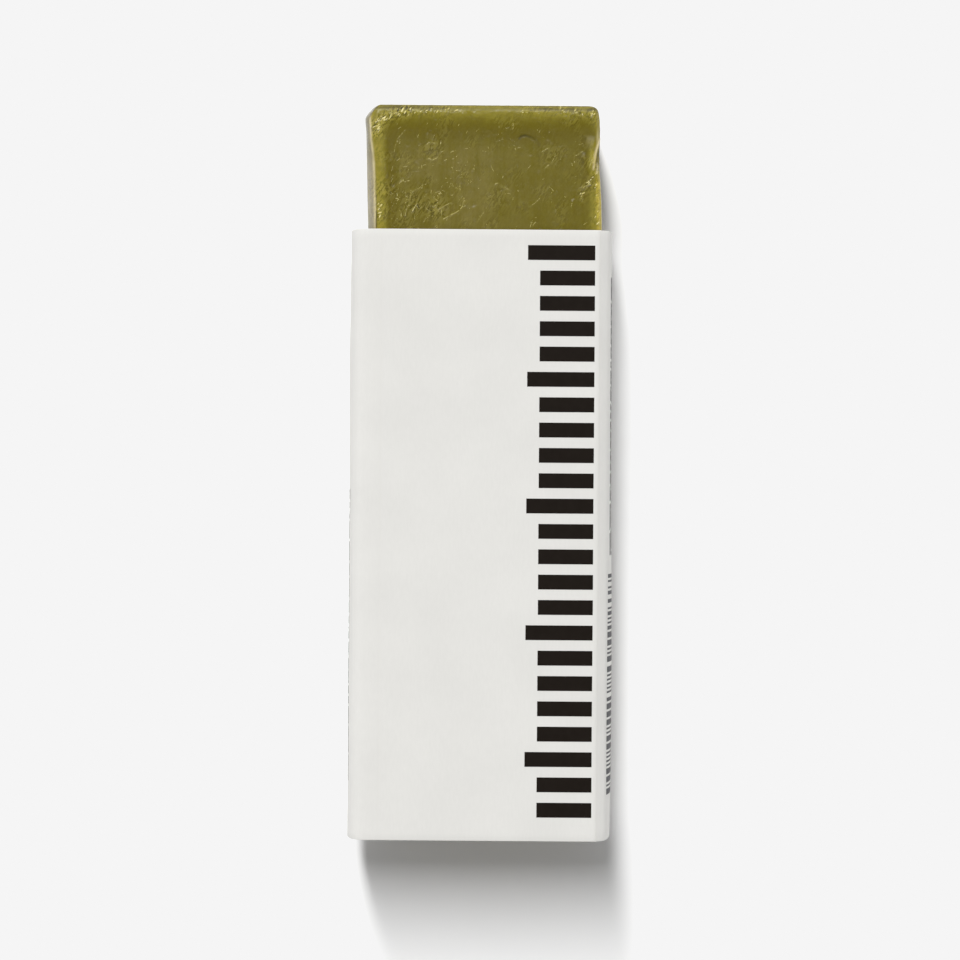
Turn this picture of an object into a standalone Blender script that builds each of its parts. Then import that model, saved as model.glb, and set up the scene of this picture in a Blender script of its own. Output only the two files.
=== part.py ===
"""A stain remover stick: a bar of olive soap that slides in a card sleeve open at both ends.

Metres, +Z up. The stick lies on the sleeve's back face. The origin is on that face, in the
bar's middle plane, half way along the sleeve. The bar comes out of the mouth towards +Y.
"""
import math

import bmesh
import bpy
from mathutils import Vector

MM = 0.001

# The bar of soap. Its tip is the worn end, outside the sleeve, and its heel the end inside.
# One long edge is cut to a facet that narrows towards the tip. The right flank is pinched in
# a little way back from the tip, and the whole worn end leans to the left.
BAR_LENGTH = 95 * MM
BAR_WIDTH = 36.4 * MM
BAR_THICKNESS = 24 * MM
BAR_PUSHED_OUT = 19.4 * MM
EDGE_RADIUS = 1.5 * MM
FACET_WIDTH = 1.1 * MM
FACET_HEIGHT = 2.4 * MM
FACET_TIP_SHARE = 0.6
HEEL_RADIUS = 0.9 * MM
TIP_RADIUS = 1.2 * MM
TIP_CORNER_RADIUS = 1.9 * MM
TIP_CHAMFER_ACROSS = 1.9 * MM
TIP_CHAMFER_ALONG = 1.7 * MM
PINCH_DEPTH = 0.4 * MM
PINCH_FROM_TIP = 8.5 * MM
PINCH_REACH = 4.5 * MM
TIP_SHIFT = 0.35 * MM

# The sleeve: one sheet of card, creased four times and glued to itself along the back.
SLEEVE_LENGTH = BAR_LENGTH
CARD = 0.5 * MM
CREASE_DROP = 1.0 * MM
LEFT_BOW = 2.05 * MM
RIGHT_BOW = 1.0 * MM
FLAP_WIDTH = 12 * MM
FLAP_TAPER = 4 * MM
LAP_SETBACK = 0.6 * MM

# The line of glue between the flap and the back panel.
GLUE_WIDTH = 5 * MM
GLUE_THICKNESS = 0.2 * MM
GLUE_END_MARGIN = 8 * MM

# Clearances between the pieces.
TOUCH_GAP = 0.3 * MM
SIDE_GAP = 0.35 * MM
FRONT_GAP = 0.4 * MM

# How finely the round stretches are divided.
CREASE_STEPS = 6
PANEL_STEPS = 8
CORNER_STEPS = 5
END_STEPS = 5
WORN_STEPS = 12
ROUND_END_STEPS = 10

# A corner curve of exponent 2 is an ellipse, and one nearer 1 is a flat facet with soft ends.
ROUND = 2.0
FACETED = 1.25

SOAP_COLOUR = (0.19, 0.15, 0.03)
CARD_COLOUR = (0.80, 0.79, 0.76)
GLUE_COLOUR = (0.72, 0.66, 0.50)

# Heights of the layers, from the face that the stick lies on up to the front of the sleeve.
BACK_PANEL_MIDDLE = CARD / 2
GLUE_BOTTOM = CARD + TOUCH_GAP
FLAP_BOTTOM = GLUE_BOTTOM + GLUE_THICKNESS + TOUCH_GAP
FLAP_MIDDLE = FLAP_BOTTOM + CARD / 2
BAR_BOTTOM = FLAP_BOTTOM + CARD + TOUCH_GAP
BAR_MIDDLE = BAR_BOTTOM + BAR_THICKNESS / 2
FRONT_PANEL_MIDDLE = BAR_BOTTOM + BAR_THICKNESS + FRONT_GAP + CARD / 2

MOUTH = SLEEVE_LENGTH / 2
TIP = MOUTH + BAR_PUSHED_OUT
SIDE_PANEL_X = BAR_WIDTH / 2 + SIDE_GAP + CARD / 2


def clear_scene():
    for old in list(bpy.data.objects):
        bpy.data.objects.remove(old)


def finish(name, mesh, colour, roughness, location=(0, 0, 0)):
    """Makes a named object of the mesh, smooth-shaded, with its own material."""
    material = bpy.data.materials.new(name)
    material.use_nodes = True
    shader = material.node_tree.nodes["Principled BSDF"]
    shader.inputs["Base Color"].default_value = (*colour, 1)
    shader.inputs["Roughness"].default_value = roughness
    shader.inputs["Metallic"].default_value = 0
    mesh.materials.append(material)
    mesh.shade_smooth()
    mesh.set_sharp_from_angle(angle=math.radians(35))
    piece = bpy.data.objects.new(name, mesh)
    piece.location = location
    bpy.context.scene.collection.objects.link(piece)
    return piece


def mesh_of(name, bm):
    bmesh.ops.recalc_face_normals(bm, faces=bm.faces)
    mesh = bpy.data.meshes.new(name)
    bm.to_mesh(mesh)
    bm.free()
    return mesh


def rounding(along, radius):
    """How far a quarter round of this radius has drawn in, at a distance from the flat end."""
    left = max(radius - along, 0)
    return radius - math.sqrt(radius**2 - left**2)


def hump(along, middle, reach):
    """1 at the middle, falling smoothly to almost nothing a reach or two away."""
    return math.exp(-(((along - middle) / reach) ** 2))


def corner(centre, size, turn, exponent):
    """A quarter curve round centre, from angle turn on, as (across, up) points."""
    points = []
    for step in range(CORNER_STEPS + 1):
        angle = math.radians(90) * step / CORNER_STEPS
        cos = math.cos(angle) ** (2 / exponent) if step < CORNER_STEPS else 0.0
        sin = math.sin(angle) ** (2 / exponent) if step else 0.0
        across, up = {0: (cos, sin), 1: (-sin, cos), 2: (-cos, -sin), 3: (sin, -cos)}[turn]
        points.append((centre[0] + size[0] * across, centre[1] + size[1] * up))
    return points


def bar_section(from_tip):
    """The outline of the bar, as (across, up) points, at a distance from its tip."""
    from_heel = BAR_LENGTH - from_tip
    end = max(rounding(from_tip, TIP_RADIUS), rounding(from_heel, HEEL_RADIUS))
    pinch = PINCH_DEPTH * hump(from_tip, PINCH_FROM_TIP, PINCH_REACH)
    worn = max(1 - from_tip / BAR_PUSHED_OUT, 0)
    shift = TIP_SHIFT * worn
    chamfer = TIP_CHAMFER_ACROSS * max(1 - from_tip / TIP_CHAMFER_ALONG, 0)
    left = -BAR_WIDTH / 2 - shift + max(end, chamfer)
    right = BAR_WIDTH / 2 - shift - pinch - max(end, rounding(from_tip, TIP_CORNER_RADIUS))
    top = BAR_THICKNESS / 2 - end
    radius = EDGE_RADIUS
    facet = (FACET_WIDTH * (1 - (1 - FACET_TIP_SHARE) * worn), FACET_HEIGHT)
    return (
        corner((right - radius, top - radius), (radius, radius), 0, ROUND)
        + corner((left + facet[0], top - facet[1]), facet, 1, FACETED)
        + corner((left + radius, radius - top), (radius, radius), 2, ROUND)
        + corner((right - radius, radius - top), (radius, radius), 3, ROUND)
    )


def bar_stations():
    """Distances from the tip, close together where the bar's outline changes."""
    tip_zone = max(TIP_RADIUS, TIP_CORNER_RADIUS, TIP_CHAMFER_ALONG)
    rounded = [tip_zone * (step / END_STEPS) ** 2 for step in range(END_STEPS + 1)]
    worn = [
        tip_zone + (BAR_PUSHED_OUT - tip_zone) * step / WORN_STEPS
        for step in range(1, WORN_STEPS + 1)
    ]
    heel = [
        BAR_LENGTH - HEEL_RADIUS * (1 - step / END_STEPS) ** 2 for step in range(END_STEPS + 1)
    ]
    return rounded + worn + heel


def soap_bar():
    bm = bmesh.new()
    loops = []
    for from_tip in bar_stations():
        ring = [bm.verts.new((x, -from_tip, z)) for x, z in bar_section(from_tip)]
        pairs = zip(ring, ring[1:] + ring[:1])
        loops.append([bm.edges.new(pair) for pair in pairs])
    for near, far in zip(loops, loops[1:]):
        bmesh.ops.bridge_loops(bm, edges=near + far)
    for end in (loops[0], loops[-1]):
        bmesh.ops.contextual_create(bm, geom=end)
    return finish("soap_bar", mesh_of("soap_bar", bm), SOAP_COLOUR, 0.28, (0, TIP, BAR_MIDDLE))


def side_panel(bow, low, high):
    """The middle line of a bowed side panel and its two creases, down the right-hand side."""
    chord = high - low - 2 * CREASE_DROP
    lean = 2 * math.atan(2 * bow / chord)
    crease_radius = CREASE_DROP / (1 - math.sin(lean))
    panel_radius = chord / 2 / math.sin(lean)
    crease_x = SIDE_PANEL_X - crease_radius * math.cos(lean)
    panel_x = SIDE_PANEL_X - panel_radius * math.cos(lean)
    upper = []
    for step in range(CREASE_STEPS):
        angle = (math.pi / 2 - lean) * step / CREASE_STEPS
        upper.append(
            (
                crease_x + crease_radius * math.sin(angle),
                high - crease_radius * (1 - math.cos(angle)),
            )
        )
    lower = [(x, low + high - z) for x, z in reversed(upper)]
    middle = (low + high) / 2
    panel = []
    for step in range(PANEL_STEPS + 1):
        angle = lean * (1 - 2 * step / PANEL_STEPS)
        panel.append(
            (panel_x + panel_radius * math.cos(angle), middle + panel_radius * math.sin(angle))
        )
    return upper + panel + lower


def sheet_line():
    """The middle line of the card, as (across, up) points, from the flap's edge to the back's."""
    right = side_panel(RIGHT_BOW, BACK_PANEL_MIDDLE, FRONT_PANEL_MIDDLE)
    left = [(-x, z) for x, z in reversed(side_panel(LEFT_BOW, FLAP_MIDDLE, FRONT_PANEL_MIDDLE))]
    flap_edge = (left[0][0] + FLAP_WIDTH, FLAP_MIDDLE)
    back_edge = (LAP_SETBACK - SIDE_PANEL_X, BACK_PANEL_MIDDLE)
    return [flap_edge] + left + right + [back_edge]


def card_sleeve():
    bm = bmesh.new()
    line = [bm.verts.new((x, -MOUTH, z)) for x, z in sheet_line()]
    edges = [bm.edges.new(pair) for pair in zip(line, line[1:])]
    pulled = bmesh.ops.extrude_edge_only(bm, edges=edges)["geom"]
    far = [item for item in pulled if isinstance(item, bmesh.types.BMVert)]
    bmesh.ops.translate(bm, verts=far, vec=Vector((0, SLEEVE_LENGTH, 0)))
    for vert in bm.verts:
        if vert.co.xz == line[0].co.xz:
            vert.co.y -= math.copysign(FLAP_TAPER, vert.co.y)
    sleeve = finish("card_sleeve", mesh_of("card_sleeve", bm), CARD_COLOUR, 0.6)
    thickness = sleeve.modifiers.new("card thickness", "SOLIDIFY")
    thickness.thickness = CARD
    thickness.offset = 0
    thickness.use_even_offset = True
    return sleeve


def seam_glue():
    """A flat line of glue with round ends, under the middle of the flap."""
    radius = GLUE_WIDTH / 2
    straight = SLEEVE_LENGTH / 2 - GLUE_END_MARGIN - radius
    fold_x = sheet_line()[1][0]
    bm = bmesh.new()
    outline = []
    for end in (1, -1):
        for step in range(ROUND_END_STEPS + 1):
            angle = math.pi * step / ROUND_END_STEPS
            x = radius * math.cos(angle) * end
            y = (straight + radius * math.sin(angle)) * end
            outline.append(bm.verts.new((x, y, 0)))
    face = bm.faces.new(outline)
    lifted = bmesh.ops.extrude_face_region(bm, geom=[face])["geom"]
    upper = [item for item in lifted if isinstance(item, bmesh.types.BMVert)]
    bmesh.ops.translate(bm, verts=upper, vec=Vector((0, 0, GLUE_THICKNESS)))
    place = (fold_x + FLAP_WIDTH / 2, 0, GLUE_BOTTOM)
    return finish("seam_glue", mesh_of("seam_glue", bm), GLUE_COLOUR, 0.35, place)


def main():
    clear_scene()
    stick = bpy.data.objects.new("stain_remover_stick", None)
    bpy.context.scene.collection.objects.link(stick)
    for piece in (card_sleeve(), seam_glue(), soap_bar()):
        piece.parent = stick


main()
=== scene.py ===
"""A stain remover stick: a bar of olive soap pushed part of the way out of its card sleeve."""
import math

import bpy
import numpy as np
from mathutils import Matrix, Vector, noise
from mathutils.bvhtree import BVHTree


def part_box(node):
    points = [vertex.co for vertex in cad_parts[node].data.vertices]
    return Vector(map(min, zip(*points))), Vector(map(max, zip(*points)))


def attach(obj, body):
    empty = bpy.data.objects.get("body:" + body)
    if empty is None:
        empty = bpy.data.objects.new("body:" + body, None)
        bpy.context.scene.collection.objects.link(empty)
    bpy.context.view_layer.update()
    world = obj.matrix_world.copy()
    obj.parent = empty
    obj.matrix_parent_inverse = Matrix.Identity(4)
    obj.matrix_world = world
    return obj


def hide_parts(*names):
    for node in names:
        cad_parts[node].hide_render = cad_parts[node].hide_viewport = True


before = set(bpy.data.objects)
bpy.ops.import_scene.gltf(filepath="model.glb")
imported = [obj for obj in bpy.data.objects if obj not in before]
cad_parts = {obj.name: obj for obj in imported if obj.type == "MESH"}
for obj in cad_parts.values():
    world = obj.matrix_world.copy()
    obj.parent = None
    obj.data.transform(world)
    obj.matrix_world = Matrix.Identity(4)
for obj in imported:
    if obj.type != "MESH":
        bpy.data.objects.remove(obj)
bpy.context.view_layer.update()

MM = 0.001

# The camera looks straight down on the stick, which lies a little askew in the picture.
PICTURE_PIXELS = 960
PICTURE_WIDTH = 149.1 * MM
CAMERA_ABOVE_FRONT = 600 * MM
CAMERA_X = -0.46 * MM
CAMERA_Y = 8.56 * MM
CAMERA_ROLL = math.radians(0.42)
SENSOR = 36

# One long soft light hangs over the far end, a little to the left. The walls of the room are
# white and give more light than its ceiling.
KEY_DISTANCE = 6.0
KEY_ACROSS = -0.135
KEY_ALONG = 0.58
KEY_WIDTH_SHARE = 0.14
KEY_LENGTH_SHARE = 0.78
KEY_POWER = 480.0
CEILING_STRENGTH = 0.07
WALL_STRENGTH = 1.2
WALL_POWER = 4.0
FLOOR_SIZE = 24.0
FLOOR_DROP = 0.05 * MM
PAPER_WHITE = 0.913

# The card sleeve. Its length, height and seam are the CAD's, and its folds and bows the photo's.
CARD = 0.5 * MM
CREASE_DROP = 1.0 * MM
LEFT_BOW = 1.92 * MM
RIGHT_BOW = 1.1 * MM
LEFT_FOLD_REACH = 4.75 * MM
LEFT_FOLD_POWER = 4.0
RIGHT_FOLD_REACH = 2.12 * MM
BEVEL_WIDTH = 1.2 * MM
BEVEL_DROP = 1.6 * MM
FOLD_DEPTH = 3.0 * MM
FOLD_STEP = 0.06 * MM
CREASE_STEPS = 14
PANEL_STEPS = 20
SIDE_PANEL_X = 18.8 * MM
FLAP_MIDDLE = 1.3 * MM
FLAP_WIDTH = 12 * MM
FLAP_TAPER = 4 * MM

# The back panel laps over the flap: how far it lifts, and over which distances from the middle.
LAP_SETBACK = 0.6 * MM
LAP_LIFT = 0.25 * MM
LAP_LIFTS_OVER = (5 * MM, 9 * MM)
LAP_EDGE_LIFT = 0.53 * MM
LAP_EDGE_LIFTS_OVER = (15 * MM, 17.6 * MM)

# Cut edges, scores pressed in along the creases, a little waviness, and how close the lines of
# the mesh are, which is in millimetres for each kind of stretch.
CUT_ROUNDING = 0.1 * MM
SCORE_DEPTH = 0.04 * MM
LEFT_SCORE_SHARE = 0.25
SCORE_REACH = 0.22 * MM
WAVE_HEIGHT = 0.09 * MM
WAVE_SIZE = 24 * MM
ACROSS_SPACING = {"crease": 0.12, "panel": 0.9, "front": 1.2, "back": 1.5, "flap": 1.5}
ALONG_SPACING = 1.2 * MM
BACK_STEP = 0.8 * MM
CREASE_MARGIN = np.array([0.08, 0.2, 0.5]) * MM

# How far each side panel swells, where along the sleeve, and how far that reaches.
LEFT_SWELL = (0.28 * MM, 27.5 * MM, 14 * MM)
RIGHT_SWELL = (0.52 * MM, -25 * MM, 29 * MM)

# The print: a plain scale down the front, and plain rules and bars on the side panels. The rules
# and bars are placed by where they start across their panel, and by their ends below the mouth.
INK_FILM = 0.03 * MM
SCALE_BARS = 23
SCALE_BAR = 2.3 * MM
SCALE_SHORT = 8.5 * MM
SCALE_LONG = 10.4 * MM
SCALE_LONG_EVERY = 5
SCALE_FROM_MOUTH = 2.4 * MM
SCALE_FROM_FAR_END = 3.7 * MM
SCALE_FROM_CREASE = 0.7 * MM
RULE_ROWS = 8
RULE_PITCH = 1.65 * MM
RULE_WIDTH = 0.8 * MM
RULE_GAP = 0.45 * MM
BARS_WIDTH = 10 * MM
RIGHT_RULES = (2.5 * MM, 7 * MM, 50.6 * MM)
RIGHT_BARS = (5.1 * MM, 53.5 * MM, 88 * MM)
LEFT_RULES = (7.7 * MM, 40.5 * MM, 86.5 * MM)

# The bar of soap, with the CAD's sizes and the photo's worn outline and edges. ROUND and FACETED
# are the powers that the edges curve by.
BAR_WIDTH = 36.4 * MM
BAR_THICKNESS = 24 * MM
BAR_PUSHED_OUT = 19.4 * MM
EDGE_RADIUS = 1.5 * MM
RIGHT_EDGE_RADIUS = 0.8 * MM
RIM_ROUNDING = 0.55 * MM
HEEL_RADIUS = 0.9 * MM
FACET_WIDTH = 1.33 * MM
FACET_TIP_WIDTH = 0.93 * MM
FACET_HEIGHT = 3.0 * MM
FACET_WAVE = 0.04 * MM
ROUND = 2.0
FACETED = 1.25
TIP_CORNER_RADIUS = 0.9 * MM
TIP_CORNER_TAPER = 0.65 * MM
TIP_CORNER_REACH = 1.3 * MM
TIP_CHAMFER_ACROSS = 1.72 * MM
TIP_CHAMFER_ALONG = 2.0 * MM
TIP_CHAMFER_POWER = 1.3
TIP_SHIFT = 0.35 * MM
LEFT_FULLER = 0.06 * MM
LEFT_LEAN = 0.13 * MM
RIGHT_FULLER = 0.06 * MM
FULLER_FADE = 6 * MM

# Forms along the bar: how far from the tip, how far they reach, and how far out or in they go.
KNOB = (2.3 * MM, 1.3 * MM, 0.12 * MM)
PINCH = (8.5 * MM, 4.5 * MM, 0.27 * MM)
PRESS = (8.8 * MM, 2.2 * MM, 0.35 * MM)

# How close the lines of the bar's mesh are.
EDGE_ZONE = 1.6 * MM
EDGE_SPACING = 0.11 * MM
SHOWN_SPACING = 0.17 * MM
SIDE_SPACING = 2.6 * MM
HIDDEN_SPACING = 3.2 * MM

# The rims that light comes through, and the wear of the face between them.
LEFT_RIM = 3.05 * MM
RIGHT_RIM = 1.0 * MM
TIP_RIM = 2.45 * MM
LEFT_RIM_FADE = 1.8 * MM
RIGHT_RIM_FADE = 1.9 * MM
TIP_RIM_FADE = 5.0 * MM
RIM_CORNER = 2.4 * MM
FACE_SINK = 0.07 * MM
STREAK_HEIGHT = 0.012 * MM
DENT_HEIGHT = 0.03 * MM
CRINKLE_HEIGHT = 0.022 * MM
NICK_COUNT = 240
MARKS_FADE = 11 * MM
HAZE_MIDDLE = (-6.0 * MM, 54.5 * MM)
HAZE_REACH = (8.5 * MM, 10.5 * MM)
RUBBED_MIDDLE = (-9.5 * MM, 52 * MM)
RUBBED_REACH = (6 * MM, 5 * MM)

sleeve_low, sleeve_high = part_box("card_sleeve")
bar_low, bar_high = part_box("soap_bar")
MOUTH = sleeve_high.y
FAR_END = sleeve_low.y
FRONT = sleeve_high.z
TIP = bar_high.y
BAR_MIDDLE = (bar_low.z + bar_high.z) / 2
BAR_LENGTH = TIP - bar_low.y


# Colours and nodes. From maths to picked, each function adds a node and gives back its output.


def linear(code):
    """An sRGB hex colour such as "#7a6d30", as the linear colour with alpha that Blender reads."""
    parts = [int(code[i : i + 2], 16) / 255 for i in (1, 3, 5)]
    return tuple(c / 12.92 if c <= 0.04045 else ((c + 0.055) / 1.055) ** 2.4 for c in parts) + (1,)


def give(tree, node, inputs):
    """Sets inputs, by name or number, to a value each or to another node's output."""
    for key, value in inputs.items():
        if isinstance(value, bpy.types.NodeSocket):
            tree.links.new(value, node.inputs[key])
        else:
            node.inputs[key].default_value = value


def add(tree, kind, inputs=None, **settings):
    """Adds a node with these inputs and settings."""
    node = tree.nodes.new(kind)
    for name, value in settings.items():
        setattr(node, name, value)
    give(tree, node, inputs or {})
    return node


def maths(tree, operation, *values, use_clamp=False):
    inputs = dict(enumerate(values))
    return add(tree, "ShaderNodeMath", inputs, operation=operation, use_clamp=use_clamp).outputs[0]


def times(tree, first, second, use_clamp=False):
    return maths(tree, "MULTIPLY", first, second, use_clamp=use_clamp)


def vector_maths(tree, operation, first, second):
    inputs = {0: first, "Scale" if operation == "SCALE" else 1: second}
    return add(tree, "ShaderNodeVectorMath", inputs, operation=operation).outputs[0]


def mapped(tree, value, low, high, new_low=0.0, new_high=1.0):
    inputs = {0: value, 1: low, 2: high, 3: new_low, 4: new_high}
    return add(tree, "ShaderNodeMapRange", inputs).outputs[0]


def stretched(tree, place, scale, rotation=(0, 0, 0), vector_type="POINT"):
    inputs = {"Vector": place, "Scale": scale, "Rotation": rotation}
    return add(tree, "ShaderNodeMapping", inputs, vector_type=vector_type).outputs[0]


def texture(tree, place, scale, detail=2.0, roughness=0.5, distortion=0.0):
    inputs = {"Vector": place, "Scale": scale, "Detail": detail}
    inputs |= {"Roughness": roughness, "Distortion": distortion}
    return add(tree, "ShaderNodeTexNoise", inputs).outputs[0]


def tones(tree, value, *stops):
    """A colour ramp, from pairs of place and hex colour or grey value."""
    node = add(tree, "ShaderNodeValToRGB", {0: value})
    elements = node.color_ramp.elements
    while len(elements) < len(stops):
        elements.new(0.5)
    for element, (place, colour) in zip(elements, stops):
        element.position = place
        element.color = linear(colour) if isinstance(colour, str) else (colour, colour, colour, 1)
    return node.outputs["Color"]


def blend(tree, share, under, over, blend_type="MIX"):
    inputs = {"Factor": share, 6: under, 7: linear(over) if isinstance(over, str) else over}
    return add(tree, "ShaderNodeMix", inputs, data_type="RGBA", blend_type=blend_type).outputs[2]


def bump(tree, height, strength, distance, **under):
    inputs = {"Height": height, "Strength": strength, "Distance": distance}
    return add(tree, "ShaderNodeBump", inputs | under).outputs[0]


def painted(tree, name):
    """A value that is stored on the mesh, for a material."""
    return add(tree, "ShaderNodeAttribute", attribute_name=name).outputs["Fac"]


def stored(tree, name, kind="FLOAT"):
    """A value that is stored on the mesh, for Geometry Nodes."""
    return add(tree, "GeometryNodeInputNamedAttribute", {"Name": name}, data_type=kind).outputs[0]


def picked(tree, kind, least, most, seed):
    """A random number or vector for each point, between these two."""
    low, high, result = (0, 1, 0) if kind == "FLOAT_VECTOR" else (2, 3, 1)
    inputs = {low: least, high: most, "Seed": seed}
    return add(tree, "FunctionNodeRandomValue", inputs, data_type=kind).outputs[result]


def new_material(name):
    material = bpy.data.materials.new(name)
    material.use_nodes = True
    return material, material.node_tree, material.node_tree.nodes["Principled BSDF"]


def object_place(tree):
    return add(tree, "ShaderNodeTexCoord").outputs["Object"]


def new_tree(name, sizes):
    """A Geometry Nodes tree with a geometry input, and an input for each named size."""
    tree = bpy.data.node_groups.new(name, "GeometryNodeTree")
    tree.interface.new_socket("Geometry", in_out="INPUT", socket_type="NodeSocketGeometry")
    tree.interface.new_socket("Geometry", in_out="OUTPUT", socket_type="NodeSocketGeometry")
    for size, kind in sizes.items():
        tree.interface.new_socket(size, in_out="INPUT", socket_type=f"NodeSocket{kind}")
    return tree, tree.nodes.new("NodeGroupInput").outputs


def finish_tree(tree, geometry, material=None):
    """Ends the tree, in one real mesh of the material if it is given."""
    if material is not None:
        real = add(tree, "GeometryNodeRealizeInstances", {0: geometry}).outputs[0]
        inputs = {"Geometry": real, "Material": material}
        geometry = add(tree, "GeometryNodeSetMaterial", inputs).outputs[0]
    give(tree, tree.nodes.new("NodeGroupOutput"), {0: geometry})
    return tree


# Pieces.


def new_object(name, data):
    thing = bpy.data.objects.new(name, data)
    bpy.context.scene.collection.objects.link(thing)
    return thing


def new_piece(name, points, quads=(), edges=()):
    mesh = bpy.data.meshes.new(name)
    mesh.from_pydata(np.asarray(points).tolist(), list(edges), np.asarray(quads).tolist())
    mesh.shade_smooth()
    return new_object(name, mesh)


def set_attribute(piece, name, values, kind="FLOAT"):
    attribute = piece.data.attributes.new(name, kind, "POINT")
    field = "vector" if kind == "FLOAT_VECTOR" else "value"
    attribute.data.foreach_set(field, np.asarray(values, np.float32).ravel())


def bake(piece, tree, values):
    """Runs the tree on the piece with these values for its inputs, and keeps the plain mesh."""
    modifier = piece.modifiers.new(tree.name, "NODES")
    modifier.node_group = tree
    for socket in tree.interface.items_tree:
        if socket.in_out == "INPUT" and socket.name in values:
            modifier[socket.identifier] = values[socket.name]
    bpy.context.view_layer.update()
    graph = bpy.context.evaluated_depsgraph_get()
    mesh = bpy.data.meshes.new_from_object(
        piece.evaluated_get(graph), preserve_all_data_layers=True, depsgraph=graph
    )
    piece.modifiers.remove(modifier)
    piece.data = mesh
    mesh.name = piece.name


def keep(piece, body, slot, *nodes):
    """Hands a finished piece to the frame."""
    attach(piece, body)
    if nodes:
        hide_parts(*nodes)


# Shapes.


def ramp(value, start, end):
    """0 up to the start, 1 from the end on, and smooth between."""
    share = np.clip((value - start) / (end - start), 0, 1)
    return share * share * (3 - 2 * share)


def hump(along, middle, reach, height=1.0):
    """The height at the middle, falling smoothly to almost nothing two reaches away."""
    return height * np.exp(-(((along - middle) / reach) ** 2))


def spaced(start, end, spacing):
    """Evenly spaced values from start to end, no further apart than the spacing."""
    return np.linspace(start, end, max(int(math.ceil((end - start) / spacing)), 1) + 1)


def merged(lines, unit=1.0, digits=7):
    """All the values in order, counted in this unit, with none twice."""
    return np.unique(np.round(np.concatenate(lines) / unit, digits))


def bent_line(corners, step, rounds=12):
    """Points at even steps along a line through these corners, smoothed this many times."""
    corners = np.array(corners)
    run = np.concatenate([[0], np.cumsum(np.linalg.norm(np.diff(corners, axis=0), axis=1))])
    at = spaced(0, run[-1], step)
    line = np.column_stack([np.interp(at, run, corners[:, axis]) for axis in (0, 1)])
    for _ in range(rounds):
        line[1:-1] = (line[:-2] + 2 * line[1:-1] + line[2:]) / 4
    return line


def box_shell(xs, ys, zs):
    """Points and outward quads of a box's surface, on the given lines across, along and up."""
    shape = len(xs), len(ys), len(zs)
    i, j, k = np.indices(shape)
    outer = np.zeros(shape, bool)
    for index, count in zip((i, j, k), shape):
        outer |= (index == 0) | (index == count - 1)
    number = np.full(shape, -1)
    number[outer] = np.arange(outer.sum())
    points = np.stack([xs[i[outer]], ys[j[outer]], zs[k[outer]]], 1)
    quads = []
    for axis in range(3):
        for end in (0, -1):
            side = np.take(number, end, axis=axis)
            corners = [side[:-1, :-1], side[1:, :-1], side[1:, 1:], side[:-1, 1:]]
            quad = np.stack(corners, -1).reshape(-1, 4)
            turned = (end == 0) != (axis == 1)
            quads.append(quad[:, ::-1] if turned else quad)
    return points, np.concatenate(quads)


def rounded(points, radius):
    """A box's points, moved onto the same box with rounded edges."""
    core = np.clip(points, points.min(0) + radius, points.max(0) - radius)
    out = points - core
    length = np.linalg.norm(out, axis=1, keepdims=True)
    return core + out * radius / np.maximum(length, radius * 1e-6)


# Camera, light and floor.


def camera():
    data = bpy.data.cameras.new("camera")
    data.sensor_width = SENSOR
    data.lens = SENSOR * CAMERA_ABOVE_FRONT / PICTURE_WIDTH
    data.clip_start = 0.01
    data.clip_end = 100
    view = new_object("camera", data)
    view.location = (CAMERA_X, CAMERA_Y, FRONT + CAMERA_ABOVE_FRONT)
    view.rotation_euler = (0, 0, CAMERA_ROLL)
    bpy.context.scene.camera = view


def key_light():
    data = bpy.data.lights.new("key_light", "AREA")
    data.shape = "RECTANGLE"
    data.size = KEY_WIDTH_SHARE * KEY_DISTANCE
    data.size_y = KEY_LENGTH_SHARE * KEY_DISTANCE
    data.energy = KEY_POWER
    light = new_object("key_light", data)
    towards = Vector((KEY_ACROSS, KEY_ALONG, 1))
    light.location = towards * KEY_DISTANCE
    light.rotation_euler = towards.to_track_quat("Z", "Y").to_euler()


def room():
    """Light from all round: dim from the ceiling and bright from the walls."""
    world = bpy.data.worlds.new("room")
    world.use_nodes = True
    tree = world.node_tree
    direction = add(tree, "ShaderNodeTexCoord").outputs["Generated"]
    height = add(tree, "ShaderNodeSeparateXYZ", {0: direction}).outputs["Z"]
    level = maths(tree, "SUBTRACT", 1.0, times(tree, height, height))
    wall = maths(tree, "POWER", level, WALL_POWER)
    strength = mapped(tree, wall, 0.0, 1.0, CEILING_STRENGTH, WALL_STRENGTH)
    give(tree, tree.nodes["Background"], {"Color": linear("#ffffff"), "Strength": strength})
    bpy.context.scene.world = world


def exposure():
    """Plain colours, with the brightest tones held at the white of a paper background."""
    view = bpy.context.scene.view_settings
    view.view_transform = "Standard"
    view.use_curve_mapping = True
    curve = view.curve_mapping.curves[3]
    curve.points.new(PAPER_WHITE, PAPER_WHITE)
    curve.points[-1].location = (1, PAPER_WHITE)
    for point in curve.points:
        point.handle_type = "VECTOR"
    view.curve_mapping.update()


def floor():
    """Matt white studio paper, smooth and even."""
    half = FLOOR_SIZE / 2
    corners = np.array([(-half, -half), (half, -half), (half, half), (-half, half)])
    plane = new_piece("floor", np.column_stack([corners, np.full(4, -FLOOR_DROP)]), [[0, 1, 2, 3]])
    material, tree, shader = new_material("matt_studio_paper")
    give(tree, shader, {"Base Color": linear("#fbfbfb"), "Roughness": 0.9, "Specular IOR Level": 0.0})
    plane.data.materials.append(material)


# Materials.


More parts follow.
